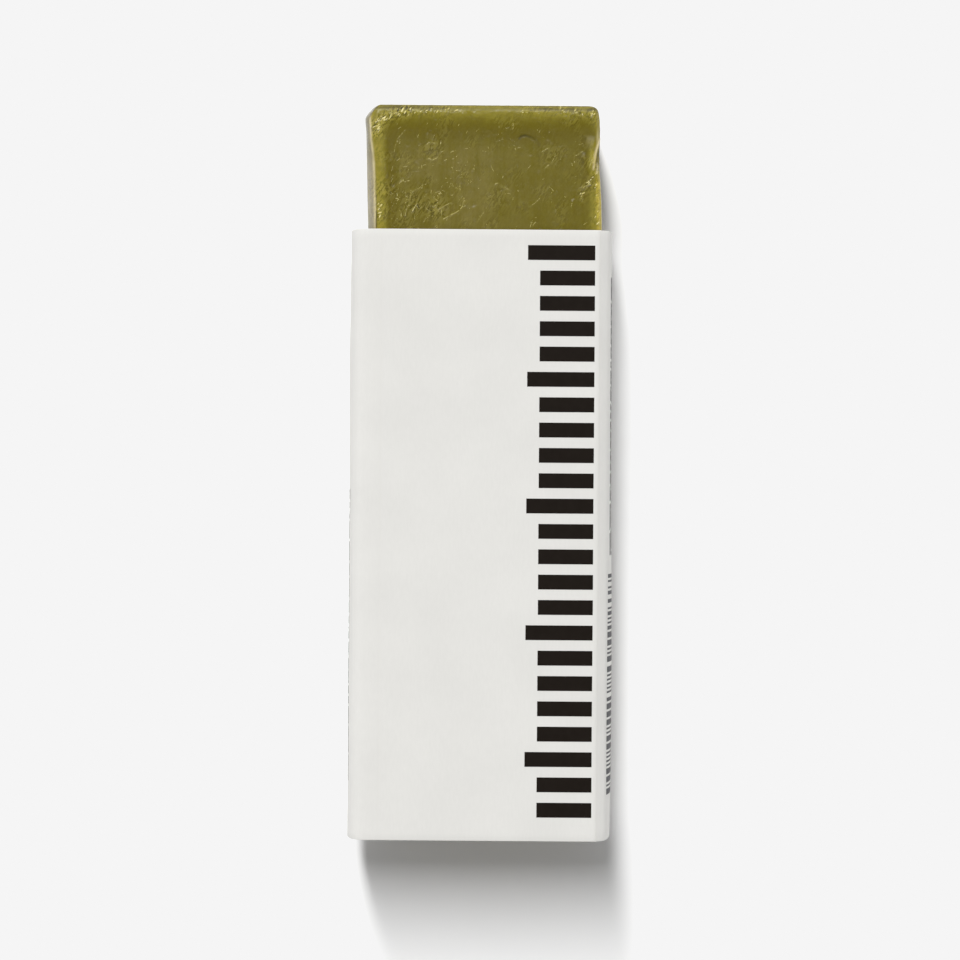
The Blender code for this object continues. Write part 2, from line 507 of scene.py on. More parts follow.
def board_material():
    """Folding boxboard, clay-coated outside: near-white and matt, with a faint fibre, a paler
    cut edge, a greyer uncoated inside, and slightly cracked coating along the creases."""
    material, tree, shader = new_material("clay_coated_folding_board")
    mm = stretched(tree, object_place(tree), (1000, 1000, 1000))
    fibre = texture(tree, stretched(tree, mm, (2.6, 0.7, 2.6)), 1.0, 6.0)
    cloud = texture(tree, mm, 0.12, 3.0)
    tone = mapped(tree, cloud, 0.3, 0.7, 0.975, 1.01)
    speck = mapped(tree, fibre, 0.3, 0.7, 0.985, 1.01)
    plies = [(0.0, "#d2cec4"), (0.06, "#dcd9d0"), (0.12, "#eceae4"), (0.9, "#f2f0eb"), (0.97, "#dcdbd7")]
    layers = tones(tree, mapped(tree, painted(tree, "ply"), -1.0, 1.0), *plies)
    tinted = vector_maths(tree, "SCALE", layers, times(tree, tone, speck))
    cracked = times(tree, painted(tree, "score"), fibre, use_clamp=True)
    looks = {
        "Base Color": blend(tree, cracked, tinted, "#d4d2cd"),
        "Roughness": mapped(tree, fibre, 0.0, 1.0, 0.5, 0.68),
        "Specular IOR Level": 0.3,
        "Normal": bump(tree, fibre, 0.25, 0.03 * MM),
    }
    give(tree, shader, looks)
    return material


def speckled_material(name, grain, stops, looks, bumps=None):
    """A plain material whose colour follows a fine grain, and its bumps too where they are given."""
    material, tree, shader = new_material(name)
    kind, sizes = grain
    level = add(tree, f"ShaderNodeTex{kind}", {"Vector": object_place(tree)} | sizes).outputs[0]
    give(tree, shader, {"Base Color": tones(tree, level, *stops)} | looks)
    if bumps:
        give(tree, shader, {"Normal": bump(tree, level, *bumps)})
    return material


def ink_material():
    """Offset black ink: a thin, slightly glossy, warm black film that follows the board's grain."""
    grain = ("Noise", {"Scale": 900.0, "Detail": 4.0})
    stops = [(0.3, "#1c1713"), (0.7, "#1f1a16")]
    looks = {"Roughness": 0.5, "Specular IOR Level": 0.03}
    return speckled_material("offset_black_ink", grain, stops, looks, (0.2, 0.02 * MM))


def small_print_material():
    """The same ink in fine rules, greyer because the board shows between its dots."""
    grain = ("Noise", {"Scale": 2500.0, "Detail": 2.0})
    stops = [(0.35, "#1d1e22"), (0.65, "#323338")]
    looks = {"Roughness": 0.5, "Specular IOR Level": 0.15}
    return speckled_material("offset_grey_tint", grain, stops, looks)


def glue_material():
    """Dried white glue: a milky, slightly glossy skin with small bubbles."""
    bubbles = ("Voronoi", {"Scale": 900.0})
    stops = [(0.05, "#d9cfae"), (0.5, "#ece6d2")]
    return speckled_material("dried_white_glue", bubbles, stops, {"Roughness": 0.3}, (0.4, 0.05 * MM))


def flake_material(name, dull, bright):
    """Flakes scraped off the same soap: small, dry and bright at their broken faces, and paler still as
    painted glints. The lips lifted along the rims are brighter again, painted light coming through them."""
    stops = [(0.35, dull), (0.65, bright)]
    looks = {"IOR": 1.46, "Roughness": 0.22}
    return speckled_material(name, ("Noise", {"Scale": 1500.0}), stops, looks)


def soap_material():
    """Poured olive-oil soap: dense and waxy, dull olive with long faint cutting streaks. Its colour
    also paints light: yellower and clearer rims for light coming through, a paler facet for a
    reflection, highlights on ridges, glints on scuffs and crinkles, and shade in grooves."""
    material, tree, shader = new_material("poured_olive_soap")
    mm = stretched(tree, object_place(tree), (1000, 1000, 1000))
    streaks = texture(tree, stretched(tree, mm, (0.55, 0.06, 0.55)), 1.0, 4.0, 0.55)
    hairs = texture(tree, stretched(tree, mm, (2.4, 0.14, 2.4)), 1.0, 3.0)
    clouds = texture(tree, mm, 0.3, 5.0)
    skin = texture(tree, mm, 2.2, 5.0, 0.6)
    blotches = texture(tree, mm, 0.9, 4.0, 0.6)
    grit = texture(tree, mm, 5.5, 3.0, 0.7)
    slant = stretched(tree, mm, (0.8, 0.26, 0.6), (0, 0, 1.0), "TEXTURE")
    folds = texture(tree, slant, 1.0, 1.0, 0.5, 0.4)
    names = ("rim", "haze", "scuff", "ridge", "groove", "crinkle", "dull", "film")
    rim, haze, scuff, ridge, groove, crinkle, dull, film = [painted(tree, name) for name in names]

    grain = maths(tree, "MULTIPLY_ADD", hairs, 0.6, maths(tree, "ADD", streaks, clouds))
    streaky = mapped(tree, grain, 1.0, 1.6, 0.4, 1.55)
    milk = times(tree, streaky, haze, use_clamp=True)
    body = tones(tree, milk, (0.0, "#64590f"), (0.3, "#6a6017"), (0.95, "#766b2d"))
    # Painted light: the rims' yellower, lighter colours stand for light coming through the thin soap.
    through = times(tree, rim, mapped(tree, blotches, 0.35, 0.65, 0.8, 1.15))
    lit = tones(tree, through, (0.2, "#746a1e"), (0.6, "#8a8029"), (1.0, "#b4a343"))
    colour = blend(tree, times(tree, through, 2.2, use_clamp=True), body, lit)
    # Painted light: the grey-beige colour paints the facet's reflection, the pale colour paints highlights
    # along ridges, and the dark colour paints shade in grooves and shadow lines.
    for share, over in ((film, "#928868"), (ridge, "#d3c598"), (groove, "#3a3310")):
        colour = blend(tree, share, colour, over)
    # Painted light and shade on the crinkled skin: the overlay darkens one side of each fold and lightens
    # the other.
    stops = [(0.37, 0.5), (0.41, 0.1), (0.45, 0.1), (0.495, 0.5), (0.53, 0.75), (0.57, 0.75), (0.62, 0.5)]
    colour = blend(tree, crinkle, colour, tones(tree, folds, *stops), "OVERLAY")
    # Painted glints on the crests of the folds, joined to the scuffs' own paler colour.
    crests = times(tree, mapped(tree, folds, 0.505, 0.565, 0.0, 0.42), crinkle)
    scuff_and_glint = maths(tree, "MULTIPLY_ADD", scuff, grit, crests, use_clamp=True)

    rough = mapped(tree, skin, 0.3, 0.7, 0.1, 0.16)
    duller = maths(tree, "MULTIPLY_ADD", haze, 0.02, rough)
    normal = bump(tree, streaks, 0.25, 0.08 * MM)
    normal = bump(tree, skin, 0.2, 0.03 * MM, Normal=normal)
    normal = bump(tree, times(tree, folds, crinkle), 0.2, 0.12 * MM, Normal=normal)
    normal = bump(tree, mapped(tree, grit, 0.6, 0.78), 0.4, 0.04 * MM, Normal=normal)
    looks = {
        "Base Color": blend(tree, scuff_and_glint, colour, "#a59a50"),
        "Roughness": maths(tree, "MULTIPLY_ADD", dull, 0.62, duller),
        "Normal": normal,
        "IOR": 1.46,
        "Subsurface Weight": 0.3,
        "Subsurface Radius": (1.0, 0.85, 0.2),
        "Subsurface Scale": 1.0 * MM,
    }
    give(tree, shader, looks)
    return material


# The card sleeve: a flat die-cut blank, folded round its section by Geometry Nodes.


def soft_fold(drop):
    """The left fold, out to the panel's middle: the card rolls over gently, without a crease."""
    turn = np.linspace(0, math.pi / 2, 2000)
    power = 2 / LEFT_FOLD_POWER
    out = LEFT_FOLD_REACH * np.sin(turn) ** power
    down = drop * (1 - np.cos(turn) ** power)
    return bent_line(np.column_stack([out, -down]), FOLD_STEP, 0)


def bevelled_fold(drop):
    """The right fold, out to the panel's middle: a sharp crease, a narrow bevel and the panel."""
    shares = [(0.75, 0.22), (0.885, 0.42), (0.968, 0.65), (1, 1)]
    corners = [(RIGHT_FOLD_REACH * out, -drop * down) for out, down in shares]
    return bent_line([(0, 0), (BEVEL_WIDTH, -BEVEL_DROP)] + corners, FOLD_STEP)


def side_panel(bow, low, high, fold):
    """The middle line of a bowed side panel, with its fold above and its crease below, down the
    right-hand side."""
    chord = high - low - 2 * CREASE_DROP
    lean = 2 * math.atan(2 * bow / chord)
    crease_radius = CREASE_DROP / (1 - math.sin(lean))
    panel_radius = chord / 2 / math.sin(lean)
    middle = (low + high) / 2
    from_front = fold(high - middle)
    from_front += (SIDE_PANEL_X + bow - from_front[-1, 0], high)
    split = np.count_nonzero(from_front[:, 1] > high - FOLD_DEPTH)
    angle = np.linspace(0, -lean, PANEL_STEPS)
    panel_x = SIDE_PANEL_X + bow - panel_radius
    bowed = np.column_stack([panel_x + panel_radius * np.cos(angle), middle + panel_radius * np.sin(angle)])
    angle = np.linspace(math.pi / 2 - lean, 0, CREASE_STEPS)
    crease_x = SIDE_PANEL_X - crease_radius * math.cos(lean) + crease_radius * np.sin(angle)
    crease = np.column_stack([crease_x, low + crease_radius * (1 - np.cos(angle))])
    return from_front[: split + 1], np.concatenate([from_front[split:], bowed[1:]]), crease


def sheet_stretches():
    """The card's middle line as named stretches of (across, up) points, from the flap's edge."""
    front, back = FRONT - CARD / 2, CARD / 2
    right = side_panel(RIGHT_BOW, back, front, bevelled_fold)
    left = side_panel(LEFT_BOW, FLAP_MIDDLE, front, soft_fold)
    left = [part[::-1] * (-1, 1) for part in reversed(left)]
    back_x = spaced(LAP_SETBACK - SIDE_PANEL_X, right[2][-1][0], BACK_STEP)[::-1]
    over_glue = LAP_LIFT * ramp(-back_x, *LAP_LIFTS_OVER)
    at_edge = (LAP_EDGE_LIFT - LAP_LIFT) * ramp(-back_x, *LAP_EDGE_LIFTS_OVER)
    return {
        "flap": np.array([left[0][0] + (FLAP_WIDTH, 0), left[0][0]]),
        "left lower crease": left[0],
        "left panel": left[1],
        "left upper crease": left[2],
        "front": np.array([left[2][-1], right[0][0]]),
        "right upper crease": right[0],
        "right panel": right[1],
        "right lower crease": right[2],
        "back": np.column_stack([back_x, back + over_glue + at_edge]),
    }


def stretch_places(stretches):
    """Where each stretch starts and ends, measured along the flat blank."""
    places, at = {}, 0.0
    for name, line in stretches.items():
        length = np.linalg.norm(np.diff(line, axis=0), axis=1).sum()
        places[name] = (at, at + length)
        at += length
    return places


STRETCHES = sheet_stretches()
PLACES = stretch_places(STRETCHES)
BLANK_WIDTH = PLACES["back"][1]

# The inputs of the folding tree.
SWELL_SIZES = ("Start", "End", "Swell", "Middle", "Reach")
SWELLS = {
    "Left": (*PLACES["left panel"], *LEFT_SWELL),
    "Right": (*PLACES["right panel"], *RIGHT_SWELL),
}
FOLD_VALUES = {f"{side} {size}": value for side in SWELLS for size, value in zip(SWELL_SIZES, SWELLS[side])}
FOLD_VALUES |= {"Back Start": PLACES["right lower crease"][0]}
FOLD_VALUES |= {"Wave Height": WAVE_HEIGHT, "Wave Size": WAVE_SIZE}
FOLD_INPUTS = {"Section": "Object"} | dict.fromkeys(FOLD_VALUES, "Float")


def section_curve():
    """The sleeve's section as a curve, which the folding tree bends the flat blank along."""
    lines = list(STRETCHES.values())
    points = np.concatenate([lines[0]] + [line[1:] for line in lines[1:]])
    data = bpy.data.curves.new("section", "CURVE")
    data.dimensions = "3D"
    spline = data.splines.new("POLY")
    spline.points.add(len(points) - 1)
    for point, (x, z) in zip(spline.points, points):
        point.co = (x, 0, z, 1)
    return new_object("section", data)


def folding_tree():
    """Bends what lies flat (across the blank, along the sleeve, above the card's middle) round
    the section. Each side panel swells at one place, and all but the back is a little wavy."""
    tree, given = new_tree("fold_blank", FOLD_INPUTS)
    position = add(tree, "GeometryNodeInputPosition").outputs[0]
    across, along, height = add(tree, "ShaderNodeSeparateXYZ", {0: position}).outputs
    section = add(tree, "GeometryNodeObjectInfo", {"Object": given["Section"]}).outputs["Geometry"]
    line = {"Curves": section, "Length": across}
    bent = add(tree, "GeometryNodeSampleCurve", line, mode="LENGTH", use_all_curves=True).outputs
    outward = vector_maths(tree, "CROSS_PRODUCT", bent["Tangent"], (0, 1, 0))

    swells = []
    for side in SWELLS:
        start, end, swell, middle, reach = [given[f"{side} {size}"] for size in SWELL_SIZES]
        bulge = maths(tree, "SINE", mapped(tree, across, start, end, 0.0, math.pi))
        away = maths(tree, "DIVIDE", maths(tree, "SUBTRACT", along, middle), reach)
        less = times(tree, times(tree, away, away), -1.0)
        both = times(tree, bulge, maths(tree, "EXPONENT", less))
        swells.append(times(tree, both, swell))
    lift = maths(tree, "ADD", height, maths(tree, "ADD", *swells))

    flat = add(tree, "ShaderNodeCombineXYZ", {0: across, 1: along}).outputs[0]
    shrunk = vector_maths(tree, "SCALE", flat, maths(tree, "DIVIDE", 1.0, given["Wave Size"]))
    centred = maths(tree, "SUBTRACT", texture(tree, shrunk, 1.0, 1.0), 0.55)
    wave = times(tree, times(tree, centred, given["Wave Height"]), 2.0)
    off_back = maths(tree, "LESS_THAN", across, given["Back Start"])
    lift = maths(tree, "ADD", lift, times(tree, wave, off_back))

    there = vector_maths(tree, "ADD", bent["Position"], vector_maths(tree, "SCALE", outward, lift))
    down = add(tree, "ShaderNodeCombineXYZ", {1: along}).outputs[0]
    moved = {"Geometry": given["Geometry"], "Position": vector_maths(tree, "ADD", there, down)}
    return finish_tree(tree, add(tree, "GeometryNodeSetPosition", moved).outputs[0])


def fold(tree, given, folding, geometry):
    """Folds the geometry, with the tree's own inputs."""
    inputs = {name: given[name] for name in FOLD_INPUTS} | {"Geometry": geometry}
    return add(tree, "GeometryNodeGroup", inputs, node_tree=folding).outputs[0]


def sleeve_tree(folding, material):
    """Folds the flat blank and gives it its board."""
    tree, given = new_tree("card_sleeve", FOLD_INPUTS)
    return finish_tree(tree, fold(tree, given, folding, given["Geometry"]), material)


def rounding_lines(low, high):
    """Lines close to both cut edges, where they round over."""
    near = CUT_ROUNDING * np.array([0, 0.12, 0.4, 1.0])
    return np.concatenate([low + near, high - near])


def card_sleeve(folding, section, material):
    """The blank, tapered at its flap and scored along its creases, and then folded."""
    start, end = PLACES["front"]
    across = [rounding_lines(0, BLANK_WIDTH), start + CREASE_MARGIN, end - CREASE_MARGIN]
    for name, place in PLACES.items():
        across.append(spaced(*place, ACROSS_SPACING[name.split()[-1]] * MM))
    along = [rounding_lines(FAR_END, MOUTH), spaced(FAR_END, MOUTH, ALONG_SPACING)]
    half = CARD / 2
    points, quads = box_shell(merged(across), merged(along), np.unique(rounding_lines(-half, half)))
    points = rounded(points, CUT_ROUNDING)

    flap_share = 1 - np.clip(points[:, 0] / PLACES["flap"][1], 0, 1)
    points[:, 1] *= 1 - flap_share * FLAP_TAPER / MOUTH
    flat = points.copy()
    score = np.zeros(len(points))
    for name, place in PLACES.items():
        if name.endswith("crease"):
            share = LEFT_SCORE_SHARE if name.startswith("left") else 1
            for edge in place:
                score += share * hump(points[:, 0], edge, SCORE_REACH)
    points[:, 2] -= score * SCORE_DEPTH

    sleeve = new_piece("folded_card_sleeve", points, quads)
    set_attribute(sleeve, "ply", flat[:, 2] / half)
    set_attribute(sleeve, "score", score)
    layout = sleeve.data.uv_layers.new(name="blank")
    corners = np.zeros(len(sleeve.data.loops), int)
    sleeve.data.loops.foreach_get("vertex_index", corners)
    uv = (flat[corners, :2] - (0, FAR_END)) / BLANK_WIDTH
    layout.data.foreach_set("uv", uv.astype(np.float32).ravel())
    bake(sleeve, sleeve_tree(folding, material), FOLD_VALUES | {"Section": section})
    keep(sleeve, "sleeve", "card", "card_sleeve")


# The print.


def print_tree(folding):
    """Sets a thin film of ink, of the size stored on each point, and folds it with the blank."""
    tree, given = new_tree("printed_marks", FOLD_INPUTS | {"Ink": "Material"})
    size = stored(tree, "mark_size", "FLOAT_VECTOR")
    inputs = {"Size": (1, 1, 1), "Vertices X": 9, "Vertices Y": 5, "Vertices Z": 2}
    cube = add(tree, "GeometryNodeMeshCube", inputs).outputs["Mesh"]
    inputs = {"Points": given["Geometry"], "Instance": cube, "Scale": size}
    films = add(tree, "GeometryNodeInstanceOnPoints", inputs).outputs[0]
    real = add(tree, "GeometryNodeRealizeInstances", {0: films}).outputs[0]
    return finish_tree(tree, fold(tree, given, folding, real), given["Ink"])


def printed(name, tree, section, marks, ink):
    """Prints marks, each (middle across, middle along, width, length), as one piece."""
    marks = np.array(marks)
    piece = new_piece(name, np.column_stack([marks[:, :2], np.full(len(marks), CARD / 2)]))
    film = np.full(len(marks), INK_FILM)
    set_attribute(piece, "mark_size", np.column_stack([marks[:, 2:], film]), "FLOAT_VECTOR")
    bake(piece, tree, FOLD_VALUES | {"Section": section, "Ink": ink})
    keep(piece, "sleeve", "card")


def front_scale():
    """A plain scale of bars down the front's right side, every fifth one longer."""
    right = PLACES["front"][1] - SCALE_FROM_CREASE
    top = MOUTH - SCALE_FROM_MOUTH - SCALE_BAR / 2
    bottom = FAR_END + SCALE_FROM_FAR_END + SCALE_BAR / 2
    marks = []
    for index, along in enumerate(np.linspace(top, bottom, SCALE_BARS)):
        length = SCALE_SHORT if index % SCALE_LONG_EVERY else SCALE_LONG
        marks.append((right - length / 2, along, length, SCALE_BAR))
    return marks


def plain_rules(panel, across, top, bottom, seed):
    """Rows of short rules, as long and as close as words of small print, but with no letters."""
    picks = np.random.default_rng(seed)
    marks = []
    for row in range(RULE_ROWS):
        along = MOUTH - top
        while along > MOUTH - bottom:
            length = min(picks.uniform(0.8, 4.2) * MM, along - (MOUTH - bottom))
            row_x = PLACES[panel][0] + across + row * RULE_PITCH
            marks.append((row_x, along - length / 2, RULE_WIDTH, length))
            along -= length + RULE_GAP
    return marks


def plain_bars(panel, across, top, bottom, seed):
    """A block of thin bars of a few widths, evenly mixed."""
    picks = np.random.default_rng(seed)
    marks = []
    along = MOUTH - top
    while along > MOUTH - bottom:
        bar = picks.choice([0.3, 0.3, 0.6, 0.9]) * MM
        gap = picks.choice([0.35, 0.35, 0.7]) * MM
        marks.append((PLACES[panel][0] + across, along - bar / 2, BARS_WIDTH, bar))
        along -= bar + gap
    return marks


# The shape of the bar of soap.


def rounding(along, radius):
    """How far a quarter round of this radius has drawn in, at a distance from the flat end."""
    left = np.maximum(radius - along, 0)
    return radius - np.sqrt(np.maximum(radius**2 - left**2, 0))


def bar_edges(from_tip):
    """Where the worn bar's left and right sides are at a distance from the tip, and how far its
    ends are rounded in there."""
    end = np.maximum(rounding(from_tip, RIM_ROUNDING), rounding(BAR_LENGTH - from_tip, HEEL_RADIUS))
    worn = np.maximum(1 - from_tip / BAR_PUSHED_OUT, 0)
    left_over = np.maximum(1 - from_tip / TIP_CHAMFER_ALONG, 0) ** TIP_CHAMFER_POWER
    chamfer = TIP_CHAMFER_ACROSS * (1 - (1 - left_over) ** (1 / TIP_CHAMFER_POWER))
    corner = rounding(from_tip, TIP_CORNER_RADIUS)
    corner += TIP_CORNER_TAPER * np.exp(-from_tip / TIP_CORNER_REACH)
    shown = ramp(BAR_PUSHED_OUT + FULLER_FADE - from_tip, 0, FULLER_FADE)
    fuller_left = (LEFT_FULLER + LEFT_LEAN * worn) * shown + hump(from_tip, *KNOB)
    left = -BAR_WIDTH / 2 - TIP_SHIFT * worn - fuller_left + np.maximum(end, chamfer)
    right = BAR_WIDTH / 2 - TIP_SHIFT * worn + RIGHT_FULLER * shown - hump(from_tip, *PINCH)
    return left, right - np.maximum(end, corner), end


def facet_width(from_tip):
    """How wide the worn facet along the bar's upper left edge is, narrower near the tip."""
    wave = FACET_WAVE * np.sin(from_tip / MM * 0.9) * np.sin(from_tip / MM * 0.37 + 1)
    near_tip = FACET_TIP_WIDTH * (0.75 + 0.25 * ramp(from_tip, 0, 2 * MM))
    return near_tip + (FACET_WIDTH - FACET_TIP_WIDTH) * ramp(from_tip, 4.6 * MM, 9.4 * MM) + wave


def bar_shape(across, from_tip, up):
    """Points of the worn bar, from places across and up (-1 to 1) and a distance from the tip."""
    left, right, end = bar_edges(from_tip)
    top = BAR_THICKNESS / 2 - end
    x = (left + right) / 2 + across * (right - left) / 2
    z = up * top

    on_facet = (across < 0) & (up > 0)
    plain = np.where((across > 0) & (up > 0), RIGHT_EDGE_RADIUS, EDGE_RADIUS)
    pressed = hump(from_tip, *PRESS) * (across > 0) * (up > 0)
    wide = np.where(on_facet, facet_width(from_tip), plain + pressed)
    tall = np.where(on_facet, FACET_HEIGHT, plain)
    power = np.where(on_facet, FACETED, ROUND)
    side = np.where(across < 0, -1, 1)
    centre_x = np.where(across < 0, left, right) - side * wide
    centre_z = np.sign(up) * (top - tall)
    dx = np.maximum((x - centre_x) * side / wide, 0)
    dz = np.maximum((z - centre_z) * np.sign(up) / tall, 0)
    curved = (dx**power + dz**power) ** (1 / power)
    pull = np.maximum(dx, dz) / np.maximum(curved, 1e-9)
    in_corner = (dx > 0) & (dz > 0)
    x = np.where(in_corner, centre_x + side * wide * dx * pull, x)
    z = np.where(in_corner, centre_z + np.sign(up) * tall * dz * pull, z)
    return np.column_stack([x, TIP - from_tip, BAR_MIDDLE + z])


def bar_lines():
    """Lines across, along and up the bar, close together at its edges and where it shows."""
    wide, half = BAR_WIDTH / 2, BAR_THICKNESS / 2
    near = spaced(0, EDGE_ZONE, EDGE_SPACING)
    across = [-wide + near, wide - near, spaced(-wide + EDGE_ZONE, wide - EDGE_ZONE, SHOWN_SPACING)]
    near = FACET_HEIGHT * 1.1 * np.linspace(0, 1, 9) ** 1.3
    up = [-half + near, half - near, spaced(-half + near[-1], half - near[-1], SIDE_SPACING)]
    shown = BAR_PUSHED_OUT + 0.6 * MM
    from_tip = [RIM_ROUNDING * np.linspace(0, 1, 6) ** 1.6]
    from_tip.append(spaced(RIM_ROUNDING, shown, SHOWN_SPACING))
    from_tip.append(spaced(shown, BAR_LENGTH - HEEL_RADIUS, HIDDEN_SPACING))
    from_tip.append(BAR_LENGTH - HEEL_RADIUS * np.linspace(1, 0, 5) ** 1.6)
    return merged(across, wide, 6), merged(from_tip), merged(up, half, 6)


# The marks on the soap. Lines and places are pixels of the picture.

# Scratches, with how deep they are.
SCRATCHES = [
    ([(464, 198), (463, 205), (460, 210), (453, 214), (447, 217), (443, 219)], 0.05 * MM),
    ([(438, 210), (444, 206), (452, 202)], 0.05 * MM),
    ([(412.3, 211.2), (414.8, 206.6), (417.2, 202.8)], 0.17 * MM),
    ([(409, 200), (412, 192), (418, 188)], 0.04 * MM),
    ([(405, 216), (407, 208)], 0.04 * MM),
    ([(429, 201), (431, 206), (436, 206), (438, 201), (434, 198)], 0.04 * MM),
    ([(428, 158), (433, 160), (438, 157)], 0.05 * MM),
    ([(425, 146), (429, 142), (435, 143)], 0.03 * MM),
    ([(405, 130), (398, 138), (395, 147), (394, 152)], 0.035 * MM),
    ([(581, 190), (585, 186), (591, 184)], 0.07 * MM),
    ([(582, 193), (582, 199)], 0.05 * MM),
    ([(574, 157), (583, 151)], 0.035 * MM),
    ([(541, 152), (548, 148)], 0.04 * MM),
    ([(545, 168), (551, 163), (556, 155)], 0.03 * MM),
    ([(529, 207), (535, 203), (540, 198)], 0.03 * MM),
    ([(495, 184), (498, 183)], 0.05 * MM),
    ([(501, 185), (510, 190)], 0.03 * MM),
    ([(589, 168), (592, 160), (594, 152)], 0.05 * MM),
    ([(477, 222), (484, 212)], 0.025 * MM),
    ([(559.6, 108.4), (560.8, 106.8)], 0.14 * MM),
    ([(575.6, 112.6), (577.4, 112)], 0.1 * MM),
    ([(582.2, 114.4), (583, 113)], 0.09 * MM),
    ([(590.8, 116.4), (591.7, 114.4)], 0.12 * MM),
]

# A pit at the tip, the pinched flank's strand and its smaller neighbour, and a fingernail's mark.
PIT = (579.7, 112.8)
STRAND = [(600, 139), (597.5, 146), (596.4, 150), (595.5, 154), (594.4, 162), (593.6, 169)]
WRINKLES = [(STRAND, 0.04 * MM), ([(597, 163), (597.4, 168), (596.8, 173)], 0.03 * MM)]
NAIL_MARK = [(519.5, 138.5), (521, 136.3), (524, 135.3), (528, 136), (533, 137.5), (537, 140.5)]
NAIL_MARK.append((539.5, 145))

# Lines that flakes stand along: the share of flakes, and how wide the line is.
CRESTS = [
    ([(377.5, 132), (377, 124), (384, 118.5), (395, 113), (407, 110)], 1.0, 0.5 * MM),
    ([(400, 111.5), (430, 110.5), (448, 109.5)], 0.45, 0.35 * MM),
    ([(452, 109.5), (524, 110)], 0.08, 0.3 * MM),
    ([(524, 110), (560, 110.5), (592, 112)], 0.3, 0.4 * MM),
    ([(590, 114), (592, 120)], 0.4, 0.4 * MM),
    ([(596.5, 164), (596, 172), (590, 179), (583, 189), (582, 199)], 0.34, 0.34 * MM),
    ([(379.5, 204), (380, 219)], 0.5, 0.3 * MM),
    ([(597, 180), (598, 222)], 0.34, 0.3 * MM),
]

# Places where the skin has crinkled: the reach in millimetres, and how much.
CRINKLED = [
    ((414, 204), 2.4, 0.85),
    ((436, 208), 2.2, 0.9),
    ((404, 172), 1.6, 0.4),
    ((432, 150), 1.8, 0.7),
    ((404, 220), 2.4, 0.6),
    ((550, 155), 2.0, 0.5),
    ((496, 200), 2.4, 0.4),
    ((574, 118), 1.6, 0.6),
    ((586, 160), 2.0, 0.6),
    ((588, 186), 1.5, 0.8),
    ((381, 190), 2.2, 0.8),
    ((381, 212), 1.6, 1.0),
]
WRINKLE_WIDTH = 0.18 * MM
GROOVE_DEPTH = 0.05 * MM
PIT_WIDTH = 0.24 * MM
PIT_DEPTH = 0.02 * MM
SCRATCH_WIDTH = 0.11 * MM
SCRATCH_SHARE = 0.25
NAIL_WIDTH = 0.2 * MM
NAIL_DEPTH = 0.012 * MM
BURR_THICKNESS = 0.031 * MM
BURR_SUNK = 0.012 * MM
BURR_STEP = 0.08 * MM
BURR_WOBBLE = 0.03 * MM
FAINT_BURRS = 260
FAINT_WEIGHT = 0.9
FAINT_FROM_LEFT = 3.6 * MM
USUAL_DEPTH = 0.045 * MM


def spot(column, line):
    """The place on the soap's face that the picture shows at this pixel."""
    scale = PICTURE_WIDTH / PICTURE_PIXELS * (CAMERA_ABOVE_FRONT + FRONT - bar_high.z) / CAMERA_ABOVE_FRONT
    across, along = (column - PICTURE_PIXELS / 2) * scale, (PICTURE_PIXELS / 2 - line) * scale
    turn_x, turn_y = math.cos(CAMERA_ROLL), math.sin(CAMERA_ROLL)
    x = CAMERA_X + across * turn_x - along * turn_y
    y = CAMERA_Y + across * turn_y + along * turn_x
    return x, y


def spots(pixels):
    return [spot(*pixel) for pixel in pixels]


def rough_noise(points, size, shift):
    """Smooth noise of about -1 to 1 with features of this size."""
    return np.array([noise.noise(Vector(point)) for point in points / size + shift])


def rim_share(from_side, from_tip, side_rim, side_fade):
    """1 on the rim along one side and the tip, and 0 on the face that they round a corner to."""
    across = np.maximum(side_rim + RIM_CORNER - from_side, 0)
    along = np.maximum(TIP_RIM + RIM_CORNER - from_tip, 0)
    out = np.hypot(across, along) - RIM_CORNER
    fade = (side_fade * across + TIP_RIM_FADE * along) / np.maximum(across + along, 1e-6)
    return ramp(out / np.maximum(fade, 1e-6), -0.5, 0.5)


class Skin:
    """The bar's points, and what the marks need to know of them. v is the distance from the tip,
    and x and y move with the points when the marks lift them."""

    def __init__(self, bar, points, from_tip, up):
        normals = np.zeros(len(points) * 3, np.float32)
        bar.data.vertex_normals.foreach_get("vector", normals)
        self.normals = normals.reshape(-1, 3)
        self.facing = self.normals[:, 2]
        self.points = points
        self.x, self.y, self.v, self.up = points[:, 0], points[:, 1], from_tip, up
        left, right, _ = bar_edges(from_tip)
        self.from_left, self.from_right = self.x - left, right - self.x
        self.facet = facet_width(from_tip)
        self.shown = ramp(BAR_PUSHED_OUT + 1.5 * MM - from_tip, 0, 1 * MM) * (up > 0)
        self.worn = self.noise(1.7 * MM, 61.3)
        self.swell = self.noise(5.5 * MM, 11.3)
        self.rubbed = self.round_place(RUBBED_MIDDLE, RUBBED_REACH)

    def noise(self, size, shift):
        return rough_noise(self.points, size, shift)

    def round_place(self, middle, reach):
        """1 at a place, and less and less around it."""
        return hump(self.x, middle[0], reach[0]) * hump(self.y, middle[1], reach[1])

    def from_line(self, pixels):
        """How far each point is from a bent line through these pixels."""
        nearest = np.full(len(self.x), 1.0)
        corners = spots(pixels)
        for (x0, y0), (x1, y1) in zip(corners[:-1], corners[1:]):
            run_x, run_y = x1 - x0, y1 - y0
            share = ((self.x - x0) * run_x + (self.y - y0) * run_y) / (run_x**2 + run_y**2)
            share = np.clip(share, 0, 1)
            gap = np.hypot(self.x - x0 - share * run_x, self.y - y0 - share * run_y)
            nearest = np.minimum(nearest, gap)
        return nearest

    def on_line(self, pixels, width):
        """1 on a bent line through these pixels where the soap shows, and less beside it."""
        return hump(self.from_line(pixels) + (1 - self.shown), 0, width)


